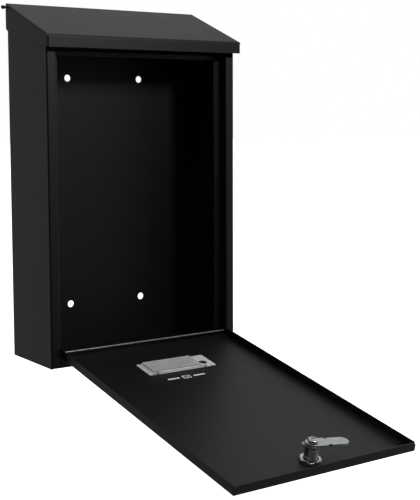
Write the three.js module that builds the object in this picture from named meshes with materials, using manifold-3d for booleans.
// Wall-mounted sheet-steel drop box: an open-fronted body with a sloping lid hinged along its rear edge
// and a drop-down front door with a cam lock. Millimetres. +X right, -Y out of the wall, +Z up.
import * as THREE from "three";
import * as BufferGeometryUtils from "three/addons/utils/BufferGeometryUtils.js";
import Module from "manifold-3d";

const wasm = await Module();
wasm.setup();

// ---------------------------------------------------------------- driving dimensions
const SHEET = 1; // all folded panels
const BEND = 1.6; // outside radius of a fold
const BEND_STEPS = 5; // facets in each fold
const GAP = 0.3; // between neighbouring solids

// body; heights are measured up from its underside
const BODY_WIDTH = 215;
const BODY_DEPTH = 83;
const FACE_FLANGE = 10; // width of the front frame on each side
const CHANNEL_DEPTH = 12; // from the front face back to the inner lip
const INNER_LIP = 6.8;
const LIP_CHAMFER = 2; // at the top of each inner lip, below the rail
const FACE_TOP = 299.5;
const FRONT_LIP_TOP = 8.9; // upturned edge of the bottom panel, which stops the open door
const RAIL_BOTTOM = 297;
const RAIL_TOP = 302;
const SCREW_HOLE_DIAMETER = 7;
const SCREW_HOLES_APART_X = 85;
const SCREW_HOLES_LOW = 45.5;
const SCREW_HOLES_HIGH = 278.5;
const ORIGIN_HEIGHT = (SCREW_HOLES_LOW + SCREW_HOLES_HIGH) / 2;

// lid
const LID_OVERHANG_SIDE = 3.2;
const LID_FRONT_Y = -91;
const LID_FRONT_TOP = 315;
const LID_FRONT_FLANGE = 11.5;
const LID_SLOPE = THREE.MathUtils.degToRad(21.7);
const LID_REAR_FLANGE_BOTTOM = 324;
const LID_AXIS_Y = -4;
const EAR_RADIUS = 2.1;
const LID_BEHIND_AXIS = 2;
const LID_OPENING = THREE.MathUtils.degToRad(105);
const BACK_BELOW_LID_AXIS = 3.5; // clears the rear edge of the lid as it swings down
const ROD_RADIUS = 1.1;
const ROD_HOLE_RADIUS = ROD_RADIUS + GAP;
const LID_ROD_LEFT = -113.8;
const LID_ROD_RIGHT = 112;

// door; t is measured inward from the hinge axis, u along the door away from it
const DOOR_WIDTH = 193.4;
const DOOR_LENGTH = 284.2;
const DOOR_TAIL = 2.5; // how far the door reaches past its axis
const DOOR_OUTER_T = -4.5;
const DOOR_INNER_T = DOOR_OUTER_T + SHEET;
const DOOR_FLANGE_T = 4.2;
const DOOR_AXIS_Y = -80.4;
const DOOR_AXIS_Z = 14.3;
const DOOR_OPEN = THREE.MathUtils.degToRad(101.6);

// name holder on the inside of the door
const NAME_X = -0.5;
const NAME_U = 57.2;
const NAME_BASE = [76, 26, 0.8];
// x from the middle of the holder
const NAME_WINDOW = { left: -30, right: 18, height: 17 };
const NAME_RIM = { left: -33, right: 21, height: 22, wall: 1.5 };
const NAME_CARD = { left: -31, right: 20, height: 18 };
const THUMB_HOLE = { x: 28.2, y: -3.6, radius: 4.2 };
const NAME_RIM_RISE = 1.4;
const NAME_CARD_THICKNESS = 0.3;
const NAME_COVER_THICKNESS = 0.8;

// cam lock
const LOCK_X = -3.5;
const LOCK_U = 263.5;
const HEAD_RADIUS = 9;
const HEAD_THICKNESS = 2.2;
const BARREL_RADIUS = 6;
const BARREL_HALF_FLATS = 5.2;
const BARREL_END = 10.2;
const BORE_RADIUS = 4.3;
const PLUG_RADIUS = 4;
const PLUG_FACE_RADIUS = 5;
const PLUG_FACE_THICKNESS = 1.4;
const TAIL_HALF = 2.8; // square drive behind the plug
const NUT_ACROSS_FLATS = 18;
const NUT_THICKNESS = 3;
const NUT_TURN = THREE.MathUtils.degToRad(8.8);
const CAM_THICKNESS = 2;
const CAM_LENGTH = 32.4; // lock axis to rounded tip
const CAM_HALF_WIDTH = 6;
const CAM_ROOT_RADIUS = 6.5;
const CAM_WAIST = { from: 11.2, at: 13, to: 14.8, half: 4.6 };
const CAM_AT_REST = THREE.MathUtils.degToRad(15); // from +X towards the free edge of the door
const STOP_WASHER_THICKNESS = 0.7;
const STOP_WASHER_RADIUS = 6.7;
const STOP_TAB = { degrees: 152, reach: 2, halfWidth: 2.2, notchDepth: 3.4, notchHalf: 0.6 };
const SPRING_WASHER_THICKNESS = 0.7;
const SPRING_WASHER = { inner: 2.4, outer: 4, splitHalf: 0.35, splitDegrees: -70 };
const SCREW_HEAD_RADIUS = 4.9;
const SCREW_HEAD_HEIGHT = 2.2;
const SCREW_SHANK_RADIUS = 1.6;
const WAFER_COUNT = 4;
const WAFER_PITCH = 1.7;
const WAFER_THICKNESS = 0.6;

// values that follow from the above
const HALF = BODY_WIDTH / 2;
const INNER_HALF = HALF - SHEET - GAP;
const FACE_Y = -BODY_DEPTH;
const LIP_Y = FACE_Y + CHANNEL_DEPTH;
const OPENING_HALF = HALF - FACE_FLANGE;
const LID_HALF = HALF + LID_OVERHANG_SIDE;
const lidTopAt = (y) => LID_FRONT_TOP + (y - LID_FRONT_Y) * Math.tan(LID_SLOPE);
const AXIS_BELOW_LID = SHEET + GAP + EAR_RADIUS;
const LID_AXIS_Z = lidTopAt(LID_AXIS_Y) - AXIS_BELOW_LID / Math.cos(LID_SLOPE);
const BACK_TOP = LID_AXIS_Z - BACK_BELOW_LID_AXIS;

// ---------------------------------------------------------------- materials
const paint = (color, roughness, metalness) =>
  new THREE.MeshStandardMaterial({ color, roughness, metalness });
const powderCoat = () => paint(0x1e1e20, 0.55, 0.1);
const bareSteel = () => paint(0x9a9a96, 0.35, 0.9);
const blackPlastic = () => paint(0x161617, 0.45, 0);
const chrome = () => paint(0xc9cccf, 0.15, 1);
const zincPlate = () => paint(0xaab3b3, 0.4, 0.9);
const brass = () => paint(0xb79a55, 0.35, 0.9);
const clearPlastic = () => paint(0xd5d8d8, 0.15, 0);
const card = () => paint(0xf0efe9, 0.9, 0);

// ---------------------------------------------------------------- solids and cuts
// A closed geometry as a solid for joining and cutting.
function solid(geometry) {
  const bare = geometry.clone();
  bare.deleteAttribute("normal");
  bare.deleteAttribute("uv");
  const merged = BufferGeometryUtils.mergeVertices(bare, 1e-4);
  return new wasm.Manifold(new wasm.Mesh({
    numProp: 3,
    vertProperties: new Float32Array(merged.attributes.position.array),
    triVerts: new Uint32Array(merged.index.array),
  }));
}

// A solid back as a geometry.
function geometryOf(body) {
  const mesh = body.getMesh();
  const geometry = new THREE.BufferGeometry();
  geometry.setAttribute("position", new THREE.BufferAttribute(new Float32Array(mesh.vertProperties), 3));
  geometry.setIndex(new THREE.BufferAttribute(new Uint32Array(mesh.triVerts), 1));
  geometry.computeVertexNormals();
  return geometry;
}

const join = (...bodies) => bodies.reduce((sum, body) => sum.add(body));

function block(x0, x1, y0, y1, z0, z1) {
  const geometry = new THREE.BoxGeometry(x1 - x0, y1 - y0, z1 - z0);
  geometry.translate((x0 + x1) / 2, (y0 + y1) / 2, (z0 + z1) / 2);
  return solid(geometry);
}

const shapeOf = (points) => new THREE.Shape(points.map(([a, b]) => new THREE.Vector2(a, b)));

function extruded(shape, depth) {
  return new THREE.ExtrudeGeometry(shape, { depth, bevelEnabled: false, curveSegments: 24 });
}

// Prisms of an outline drawn in the XY, XZ and YZ planes.
function prismZ(shape, z0, z1) {
  return solid(extruded(shape, z1 - z0).translate(0, 0, z0));
}

function prismY(shape, y0, y1) {
  return solid(extruded(shape, y1 - y0).rotateX(Math.PI / 2).translate(0, y1, 0));
}

function prismX(shape, x0, x1) {
  const yzPlane = new THREE.Matrix4().makeBasis(
    new THREE.Vector3(0, 1, 0), new THREE.Vector3(0, 0, 1), new THREE.Vector3(1, 0, 0));
  return solid(extruded(shape, x1 - x0).applyMatrix4(yzPlane).translate(x0, 0, 0));
}

// Round bars along X and Z.
function barX(radius, x0, x1, y, z, segments = 24) {
  const geometry = new THREE.CylinderGeometry(radius, radius, x1 - x0, segments);
  return solid(geometry.rotateZ(Math.PI / 2).translate((x0 + x1) / 2, y, z));
}

function barZ(radius, z0, z1, x = 0, y = 0, segments = 32) {
  const geometry = new THREE.CylinderGeometry(radius, radius, z1 - z0, segments);
  return solid(geometry.rotateX(Math.PI / 2).translate(x, y, (z0 + z1) / 2));
}

// A turned solid about Z from [radius, height] pairs that start and end on the axis.
function turned(profile, segments = 40) {
  const geometry = new THREE.LatheGeometry(profile.map(([r, z]) => new THREE.Vector2(r, z)), segments);
  return solid(geometry.rotateX(Math.PI / 2));
}

const mirroredX = (body) => body.mirror([1, 0, 0]);

// The outline of a sheet folded along a polyline: each corner becomes a true arc of constant thickness.
function foldedSheet(corners, thickness = SHEET, outside = BEND) {
  const points = corners.map(([a, b]) => new THREE.Vector2(a, b));
  const leftOf = (direction) => new THREE.Vector2(-direction.y, direction.x);
  const directions = points.slice(1).map((point, i) => point.clone().sub(points[i]).normalize());
  const middleRadius = outside - thickness / 2;
  const edge = (side) => {
    const offset = side * thickness / 2;
    const line = [points[0].clone().addScaledVector(leftOf(directions[0]), offset)];
    for (let i = 1; i < points.length - 1; i += 1) {
      const [before, after] = [directions[i - 1], directions[i]];
      const turn = Math.sign(before.cross(after));
      const bend = Math.acos(before.dot(after));
      const start = points[i].clone().addScaledVector(before, -middleRadius * Math.tan(bend / 2));
      const centre = start.clone().addScaledVector(leftOf(before), turn * middleRadius);
      const radius = middleRadius - turn * offset;
      const from = Math.atan2(-turn * leftOf(before).y, -turn * leftOf(before).x);
      for (let step = 0; step <= BEND_STEPS; step += 1) {
        const angle = from + turn * bend * step / BEND_STEPS;
        const spoke = new THREE.Vector2(Math.cos(angle), Math.sin(angle));
        line.push(centre.clone().addScaledVector(spoke, radius));
      }
    }
    line.push(points.at(-1).clone().addScaledVector(leftOf(directions.at(-1)), offset));
    return line;
  };
  return new THREE.Shape([...edge(-1), ...edge(1).reverse()]);
}

const roundHole = (radius, x, y) => new THREE.Path().absarc(x, y, radius, 0, 2 * Math.PI, true);

// ---------------------------------------------------------------- scene graph
const box = new THREE.Group();
box.name = "drop_box";
box.position.z = -ORIGIN_HEIGHT;

function place(parent, name, body, material) {
  const mesh = new THREE.Mesh(geometryOf(body), material);
  mesh.name = name;
  parent.add(mesh);
  return mesh;
}

// ---------------------------------------------------------------- body panels
function backPanel() {
  const outline = shapeOf([
    [-INNER_HALF, SHEET + GAP], [INNER_HALF, SHEET + GAP], [INNER_HALF, BACK_TOP], [-INNER_HALF, BACK_TOP],
  ]);
  for (const side of [-1, 1]) {
    for (const height of [SCREW_HOLES_LOW, SCREW_HOLES_HIGH]) {
      outline.holes.push(roundHole(SCREW_HOLE_DIAMETER / 2, side * SCREW_HOLES_APART_X / 2, height));
    }
  }
  return prismY(outline, -SHEET, 0);
}

// The right side: a wall whose front edge is folded into a channel that frames the door.
function sidePanel() {
  const slopeNormal = Math.PI / 2 + LID_SLOPE;
  const earRear = Math.PI / 2 - LID_OPENING;
  const neckHeight = BACK_BELOW_LID_AXIS + EAR_RADIUS * Math.sin(earRear);
  const neckY = LID_AXIS_Y + EAR_RADIUS * Math.cos(earRear) + neckHeight * Math.tan(earRear);
  const bendEnd = FACE_Y + BEND;
  const wall = new THREE.Shape();
  wall.moveTo(bendEnd, 0);
  wall.lineTo(0, 0);
  wall.lineTo(0, BACK_TOP);
  wall.lineTo(neckY, BACK_TOP);
  wall.absarc(LID_AXIS_Y, LID_AXIS_Z, EAR_RADIUS, earRear, slopeNormal, false);
  wall.lineTo(FACE_Y, lidTopAt(FACE_Y) - (SHEET + GAP) / Math.cos(LID_SLOPE));
  wall.lineTo(FACE_Y, FACE_TOP);
  wall.lineTo(bendEnd, FACE_TOP);
  wall.holes.push(roundHole(ROD_HOLE_RADIUS, LID_AXIS_Y, LID_AXIS_Z));

  const wallMiddle = HALF - SHEET / 2;
  const returnMiddle = OPENING_HALF + SHEET / 2;
  const channel = foldedSheet([
    [wallMiddle, FACE_Y + 3 * BEND],
    [wallMiddle, FACE_Y + SHEET / 2],
    [returnMiddle, FACE_Y + SHEET / 2],
    [returnMiddle, LIP_Y + SHEET / 2],
    [OPENING_HALF - INNER_LIP, LIP_Y + SHEET / 2],
  ]);
  const rodHole = barX(ROD_HOLE_RADIUS, OPENING_HALF - 2, OPENING_HALF + 4, DOOR_AXIS_Y, DOOR_AXIS_Z);
  const lipTop = RAIL_BOTTOM - GAP;
  const lipEnd = OPENING_HALF - INNER_LIP;
  const aboveLip = prismY(shapeOf([
    [lipEnd - 1, lipTop - LIP_CHAMFER - 1], [lipEnd, lipTop - LIP_CHAMFER], [lipEnd + LIP_CHAMFER, lipTop],
    [OPENING_HALF, lipTop], [OPENING_HALF, FACE_TOP + 1], [lipEnd - 1, FACE_TOP + 1],
  ]), LIP_Y - BEND, LIP_Y + 2 * SHEET);
  return join(prismX(wall, HALF - SHEET, HALF), prismZ(channel, SHEET + GAP, FACE_TOP))
    .subtract(rodHole)
    .subtract(aboveLip);
}

// The floor of the box, turned up at the front between the side channels.
function bottomPanel() {
  const folded = foldedSheet([
    [-GAP, SHEET / 2],
    [FACE_Y + SHEET / 2, SHEET / 2],
    [FACE_Y + SHEET / 2, FRONT_LIP_TOP],
  ]);
  const between = OPENING_HALF - GAP;
  return join(
    prismX(folded, -between, between),
    block(-INNER_HALF, INNER_HALF, FACE_Y + BEND, -GAP, 0, SHEET),
  );
}

// The strip across the top of the door opening, above the inner lips, folded forward over the side channels.
function topFrontRail() {
  const folded = foldedSheet([
    [LIP_Y + SHEET / 2, RAIL_BOTTOM],
    [LIP_Y + SHEET / 2, RAIL_TOP - SHEET / 2],
    [FACE_Y + SHEET, RAIL_TOP - SHEET / 2],
  ]);
  const between = OPENING_HALF - GAP;
  const acrossTop = block(-INNER_HALF, INNER_HALF, FACE_Y + SHEET, LIP_Y - BEND, RAIL_TOP - SHEET, RAIL_TOP);
  return join(prismX(folded, -between, between), acrossTop);
}

const rightSide = sidePanel();
place(box, "back_panel", backPanel(), powderCoat());
place(box, "left_side_panel", mirroredX(rightSide), powderCoat());
place(box, "right_side_panel", rightSide, powderCoat());
place(box, "bottom_panel", bottomPanel(), powderCoat());
place(box, "top_front_rail", topFrontRail(), powderCoat());

// ---------------------------------------------------------------- rods
// A domed push-on cap, opening towards +X, on the left end of the lid rod.
function rodCap() {
  const outer = ROD_HOLE_RADIUS + 0.4;
  const dome = 1.2;
  const depth = 2.6;
  const shell = turned([[0, -dome], [outer * 0.6, -dome * 0.8], [outer, 0], [outer, depth], [0, depth]], 24);
  const socket = barZ(ROD_HOLE_RADIUS, GAP, depth + 1, 0, 0, 24);
  const end = LID_ROD_LEFT - 2 * GAP;
  return shell.subtract(socket).rotate([0, 90, 0]).translate([end, LID_AXIS_Y, LID_AXIS_Z]);
}

const doorRodHalf = INNER_HALF - GAP;
const doorRod = barX(ROD_RADIUS, -doorRodHalf, doorRodHalf, DOOR_AXIS_Y, DOOR_AXIS_Z);
const lidRod = barX(ROD_RADIUS, LID_ROD_LEFT, LID_ROD_RIGHT, LID_AXIS_Y, LID_AXIS_Z);
place(box, "door_hinge_rod", doorRod, bareSteel());
place(box, "lid_hinge_rod", lidRod, bareSteel());
place(box, "lid_rod_cap", rodCap(), blackPlastic());

// ---------------------------------------------------------------- lid
// One folded sheet: the sloping top, a front flange and two side flanges that grow towards the rear.
function lid() {
  const along = new THREE.Vector2(Math.cos(LID_SLOPE), Math.sin(LID_SLOPE));
  const up = new THREE.Vector2(-along.y, along.x);
  const rear = new THREE.Vector2(LID_AXIS_Y, LID_AXIS_Z)
    .addScaledVector(along, LID_BEHIND_AXIS).addScaledVector(up, AXIS_BELOW_LID);
  const cornerRadius = 4;
  const outline = new THREE.Shape();
  outline.moveTo(LID_FRONT_Y, LID_FRONT_TOP - LID_FRONT_FLANGE);
  outline.lineTo(rear.x - cornerRadius, LID_REAR_FLANGE_BOTTOM - cornerRadius / 4);
  outline.quadraticCurveTo(rear.x, LID_REAR_FLANGE_BOTTOM, rear.x, LID_REAR_FLANGE_BOTTOM + cornerRadius);
  outline.lineTo(rear.x, rear.y);
  outline.lineTo(LID_FRONT_Y, LID_FRONT_TOP);
  const underside = (y) => lidTopAt(y) - SHEET / Math.cos(LID_SLOPE);
  const inside = LID_FRONT_Y + SHEET;
  const hollow = shapeOf([[inside, 200], [20, 200], [20, underside(20)], [inside, underside(inside)]]);
  return prismX(outline, -LID_HALF, LID_HALF)
    .subtract(prismX(hollow, -LID_HALF + SHEET, LID_HALF - SHEET))
    .subtract(barX(ROD_HOLE_RADIUS, -LID_HALF - 1, LID_HALF + 1, LID_AXIS_Y, LID_AXIS_Z));
}

place(box, "lid", lid(), powderCoat());

// ---------------------------------------------------------------- door
const door = new THREE.Group();
door.position.set(0, DOOR_AXIS_Y, DOOR_AXIS_Z);
door.rotation.x = DOOR_OPEN;
box.add(door);

// A shallow tray, folded inward on three sides, with a name window and a hole with two flats for the lock.
function doorPanel() {
  const half = DOOR_WIDTH / 2;
  const outside = block(-half, half, DOOR_OUTER_T, DOOR_FLANGE_T, -DOOR_TAIL, DOOR_LENGTH);
  const inside = block(-half + SHEET, half - SHEET, DOOR_INNER_T, DOOR_FLANGE_T + 1,
    -DOOR_TAIL - 1, DOOR_LENGTH - SHEET);
  const nameWindow = block(NAME_X + NAME_WINDOW.left, NAME_X + NAME_WINDOW.right,
    DOOR_OUTER_T - 1, DOOR_INNER_T + 1,
    NAME_U - NAME_WINDOW.height / 2, NAME_U + NAME_WINDOW.height / 2);
  const lockCircle = barZ(BARREL_RADIUS + GAP, DOOR_OUTER_T - 1, DOOR_INNER_T + 1)
    .rotate([-90, 0, 0]).translate([LOCK_X, 0, LOCK_U]);
  const flats = BARREL_HALF_FLATS + GAP;
  const lockHole = lockCircle.intersect(
    block(LOCK_X - flats, LOCK_X + flats, DOOR_OUTER_T - 2, DOOR_INNER_T + 2, LOCK_U - 10, LOCK_U + 10));
  return outside.subtract(inside).subtract(nameWindow).subtract(lockHole)
    .subtract(barX(ROD_HOLE_RADIUS, -half - 1, half + 1, 0, 0));
}

place(door, "door_panel", doorPanel(), powderCoat());

// Name holder pieces are drawn flat (X across, Y along the door) and stand up from the door's inner face.
const nameGroup = new THREE.Group();
nameGroup.position.set(NAME_X, DOOR_INNER_T + GAP, NAME_U);
nameGroup.rotation.x = -Math.PI / 2;
door.add(nameGroup);

// A block whose X range is given by left and right, centred on Y, less a margin all round.
function centred(size, z0, z1, margin = 0) {
  const half = size.height / 2 - margin;
  return block(size.left + margin, size.right - margin, -half, half, z0, z1);
}

// A base plate with a thumb hole, a pane that fills the door's window and a rim open at its right end.
function nameHolder() {
  const [width, height, thickness] = NAME_BASE;
  const rimTop = thickness + NAME_RIM_RISE;
  const base = block(-width / 2, width / 2, -height / 2, height / 2, 0, thickness);
  const pane = centred(NAME_WINDOW, -SHEET, thickness, GAP);
  const trough = centred({ ...NAME_RIM, right: width }, thickness, rimTop + 1, NAME_RIM.wall);
  const thumbHole = barZ(THUMB_HOLE.radius, -1, thickness + 1, THUMB_HOLE.x, THUMB_HOLE.y);
  return join(base, pane, centred(NAME_RIM, 0, rimTop).subtract(trough)).subtract(thumbHole);
}

function nameCard() {
  const bottom = NAME_BASE[2] + GAP;
  return centred(NAME_CARD, bottom, bottom + NAME_CARD_THICKNESS);
}

function nameCover() {
  const bottom = NAME_BASE[2] + NAME_RIM_RISE + GAP;
  return centred(NAME_RIM, bottom, bottom + NAME_COVER_THICKNESS);
}

place(nameGroup, "name_holder", nameHolder(), clearPlastic());
place(nameGroup, "name_card", nameCard(), card());
place(nameGroup, "name_cover", nameCover(), clearPlastic());

// ---------------------------------------------------------------- lock
// The lock's Z runs inward along its axis, from zero level with the door hinge. Its Y points to the hinge.
const lock = new THREE.Group();
lock.position.set(LOCK_X, 0, LOCK_U);
lock.rotation.x = -Math.PI / 2;
door.add(lock);

const HEAD_BACK = DOOR_OUTER_T - GAP;
const HEAD_FRONT = HEAD_BACK - HEAD_THICKNESS;
const PLUG_FACE_FRONT = HEAD_FRONT + 0.1;
const PLUG_FACE_BACK = PLUG_FACE_FRONT + PLUG_FACE_THICKNESS;
const PLUG_END = BARREL_END + GAP;
const STOP_WASHER_AT = PLUG_END + GAP;
const CAM_AT = STOP_WASHER_AT + STOP_WASHER_THICKNESS + GAP;
const CAM_TOP = CAM_AT + CAM_THICKNESS;
const TAIL_END = CAM_TOP - 0.2;
const SPRING_WASHER_AT = CAM_TOP + GAP;
const SCREW_HEAD_AT = SPRING_WASHER_AT + SPRING_WASHER_THICKNESS + GAP;
const SCREW_TIP = PLUG_END - 3.6;
const FIRST_WAFER = -3.5;
const WAFER_HALF_HEIGHT = 3.3;
const WAFER_HALF_WIDTH = 2;
const KEYWAY_END = FIRST_WAFER + WAFER_COUNT * WAFER_PITCH;

// The chromed head and flatted barrel, bored for the plug, with two grooves that the wafers lock into.
function lockHousing() {
  const rimChamfer = 0.8;
  const outside = turned([
    [0, HEAD_FRONT], [HEAD_RADIUS - rimChamfer, HEAD_FRONT], [HEAD_RADIUS, HEAD_FRONT + rimChamfer],
    [HEAD_RADIUS, HEAD_BACK], [BARREL_RADIUS, HEAD_BACK], [BARREL_RADIUS, BARREL_END], [0, BARREL_END],
  ], 48);
  const envelope = block(-BARREL_HALF_FLATS, BARREL_HALF_FLATS, -20, 20, HEAD_BACK, BARREL_END + 1);
  const head = block(-20, 20, -20, 20, HEAD_FRONT - 1, HEAD_BACK);
  const grooves = block(-WAFER_HALF_WIDTH - 0.4, WAFER_HALF_WIDTH + 0.4, -5, 5, HEAD_BACK + 0.2, KEYWAY_END);
  return outside.intersect(join(envelope, head))
    .subtract(barZ(BORE_RADIUS, HEAD_FRONT - 1, BARREL_END + 1))
    .subtract(barZ(PLUG_FACE_RADIUS + GAP, HEAD_FRONT - 1, PLUG_FACE_BACK + GAP))
    .subtract(grooves);
}

function lockNut() {
  const corner = NUT_ACROSS_FLATS / Math.sqrt(3);
  const bottom = DOOR_INNER_T + GAP;
  const top = bottom + NUT_THICKNESS;
  const hexagon = new THREE.CylinderGeometry(corner, corner, NUT_THICKNESS, 6);
  hexagon.rotateX(Math.PI / 2).rotateZ(Math.PI / 6 - NUT_TURN).translate(0, 0, (bottom + top) / 2);
  const chamfered = turned([
    [0, bottom], [corner, bottom], [corner, top - 0.7], [NUT_ACROSS_FLATS / 2 + 0.2, top], [0, top],
  ], 48);
  return solid(hexagon).intersect(chamfered).subtract(barZ(BARREL_RADIUS + GAP, bottom - 1, top + 1));
}

place(lock, "lock_housing", lockHousing(), chrome());
place(lock, "lock_nut", lockNut(), chrome());

// Everything that turns with the key: drawn with the cam along +X.
const plugGroup = new THREE.Group();
plugGroup.rotation.z = -CAM_AT_REST;
lock.add(plugGroup);

const waferAt = (i) => FIRST_WAFER + i * WAFER_PITCH;
const SPRING_ACROSS = 1.7;
const SPRING_COIL = 0.26;
const SPRING_WIRE = 0.09;
const SPRING_BOTTOM = -0.3;
const SPRING_TOP = 2.15;
const EAR_BOTTOM = 2.4;
const WAFER_INNER_EDGE = 1.15;

// The plug: a keyway, a slot for each wafer and its spring, and a square drive with a screw hole.
function lockPlug() {
  const round = turned([
    [0, PLUG_FACE_FRONT], [PLUG_FACE_RADIUS, PLUG_FACE_FRONT], [PLUG_FACE_RADIUS, PLUG_FACE_BACK],
    [PLUG_RADIUS, PLUG_FACE_BACK], [PLUG_RADIUS, PLUG_END], [0, PLUG_END],
  ]);
  const drive = block(-TAIL_HALF, TAIL_HALF, -TAIL_HALF, TAIL_HALF, PLUG_END - 1, TAIL_END);
  const keyway = block(-2.3, 2.3, -0.6, 0.6, PLUG_FACE_FRONT - 1, KEYWAY_END);
  const screwHole = barZ(ROD_HOLE_RADIUS + 0.5, SCREW_TIP - GAP, TAIL_END + 1, 0, 0, 24);
  const halfSlot = WAFER_THICKNESS / 2 + 0.25;
  let plug = join(round, drive).subtract(keyway).subtract(screwHole);
  for (let i = 0; i < WAFER_COUNT; i += 1) {
    const z = waferAt(i);
    plug = plug
      .subtract(block(-6, 6, -WAFER_HALF_WIDTH - 0.25, WAFER_INNER_EDGE + 0.25, z - halfSlot, z + halfSlot))
      .subtract(block(SPRING_BOTTOM - 0.2, 6, 0, WAFER_HALF_WIDTH + 0.25, z - halfSlot, z + halfSlot));
  }
  return plug;
}

// A brass wafer: a plate with a window for the key and an ear for its spring.
function wafer() {
  const outline = shapeOf([
    [-WAFER_HALF_HEIGHT, -WAFER_HALF_WIDTH], [WAFER_HALF_HEIGHT, -WAFER_HALF_WIDTH],
    [WAFER_HALF_HEIGHT, WAFER_HALF_WIDTH], [EAR_BOTTOM, WAFER_HALF_WIDTH],
    [EAR_BOTTOM, WAFER_INNER_EDGE], [-WAFER_HALF_HEIGHT, WAFER_INNER_EDGE],
  ]);
  outline.holes.push(new THREE.Path([[-2.2, -0.75], [-2.2, 0.75], [2.2, 0.75], [2.2, -0.75]]
    .map(([a, b]) => new THREE.Vector2(a, b))));
  return prismZ(outline, -WAFER_THICKNESS / 2, WAFER_THICKNESS / 2);
}

class Helix extends THREE.Curve {
  constructor(radius, height, turns) {
    super();
    this.radius = radius;
    this.height = height;
    this.turns = turns;
  }

  getPoint(along, target = new THREE.Vector3()) {
    const angle = 2 * Math.PI * this.turns * along;
    return target.set(
      this.height * along, this.radius * Math.cos(angle), this.radius * Math.sin(angle));
  }
}

function waferSpring() {
  const turns = 5;
  const wire = new THREE.Shape().absarc(0, 0, SPRING_WIRE, 0, 2 * Math.PI, false);
  const height = SPRING_TOP - SPRING_BOTTOM - 2 * SPRING_WIRE;
  const extrudePath = new Helix(SPRING_COIL, height, turns);
  const coil = new THREE.ExtrudeGeometry(wire, {
    steps: turns * 10, curveSegments: 3, bevelEnabled: false, extrudePath,
  });
  return solid(coil.translate(SPRING_BOTTOM + SPRING_WIRE, SPRING_ACROSS, 0));
}

function stopWasher() {
  const hole = TAIL_HALF + GAP;
  const bottom = STOP_WASHER_AT - 1;
  const top = STOP_WASHER_AT + STOP_WASHER_THICKNESS;
  const { degrees, reach, halfWidth, notchDepth, notchHalf } = STOP_TAB;
  const tabEnd = STOP_WASHER_RADIUS + reach;
  const tab = block(STOP_WASHER_RADIUS - 1, tabEnd, -halfWidth, halfWidth, STOP_WASHER_AT, top);
  const notch = block(tabEnd - notchDepth, tabEnd + 1, -notchHalf, notchHalf, bottom, top + 1);
  return join(barZ(STOP_WASHER_RADIUS, STOP_WASHER_AT, top, 0, 0, 40), tab.rotate([0, 0, degrees]))
    .subtract(notch.rotate([0, 0, degrees]))
    .subtract(block(-hole, hole, -hole, hole, bottom, top + 1));
}

// The cam: a wide root, a waist, and a blade with a round tip.
function cam() {
  const { from, at, to, half } = CAM_WAIST;
  const tipCentre = CAM_LENGTH - CAM_HALF_WIDTH;
  const outline = new THREE.Shape();
  outline.absarc(0, 0, CAM_ROOT_RADIUS, Math.PI / 2, 1.5 * Math.PI, false);
  outline.lineTo(from, -CAM_ROOT_RADIUS);
  outline.lineTo(at, -half);
  outline.lineTo(to, -CAM_HALF_WIDTH);
  outline.absarc(tipCentre, 0, CAM_HALF_WIDTH, -Math.PI / 2, Math.PI / 2, false);
  outline.lineTo(to, CAM_HALF_WIDTH);
  outline.lineTo(at, half);
  outline.lineTo(from, CAM_ROOT_RADIUS);
  const hole = TAIL_HALF + GAP;
  return prismZ(outline, CAM_AT, CAM_TOP)
    .subtract(block(-hole, hole, -hole, hole, CAM_AT - 1, CAM_TOP + 1));
}

function springWasher() {
  const { inner, outer, splitHalf, splitDegrees } = SPRING_WASHER;
  const bottom = SPRING_WASHER_AT - 1;
  const top = SPRING_WASHER_AT + SPRING_WASHER_THICKNESS;
  return barZ(outer, SPRING_WASHER_AT, top, 0, 0, 32)
    .subtract(barZ(inner, bottom, top + 1, 0, 0, 24))
    .subtract(block(0, outer + 1, -splitHalf, splitHalf, bottom, top + 1).rotate([0, 0, splitDegrees]));
}

// A pan-head screw; its crown leaves room for the cross recess.
function camScrew() {
  const top = SCREW_HEAD_AT + SCREW_HEAD_HEIGHT;
  const rim = 0.9;
  const crown = 2.6;
  const recess = { halfLength: 2.4, halfWidth: 0.5, depth: 1.4 };
  const body = turned([
    [0, SCREW_TIP], [SCREW_SHANK_RADIUS, SCREW_TIP], [SCREW_SHANK_RADIUS, SCREW_HEAD_AT],
    [SCREW_HEAD_RADIUS, SCREW_HEAD_AT], [SCREW_HEAD_RADIUS, SCREW_HEAD_AT + rim],
    [SCREW_HEAD_RADIUS - 0.6, top - 0.4], [crown, top], [0, top],
  ], 32);
  const slot = block(-recess.halfLength, recess.halfLength, -recess.halfWidth, recess.halfWidth,
    top - recess.depth, top + 1);
  return body.subtract(slot).subtract(slot.rotate([0, 0, 90]));
}

place(plugGroup, "lock_plug", lockPlug(), brass());
place(plugGroup, "stop_washer", stopWasher(), zincPlate());
place(plugGroup, "cam", cam(), zincPlate());
place(plugGroup, "spring_washer", springWasher(), zincPlate());
place(plugGroup, "cam_screw", camScrew(), chrome());
for (let i = 0; i < WAFER_COUNT; i += 1) {
  place(plugGroup, `wafer_${i + 1}`, wafer(), brass()).position.z = waferAt(i);
  place(plugGroup, `wafer_spring_${i + 1}`, waferSpring(), bareSteel()).position.z = waferAt(i);
}

export default box;
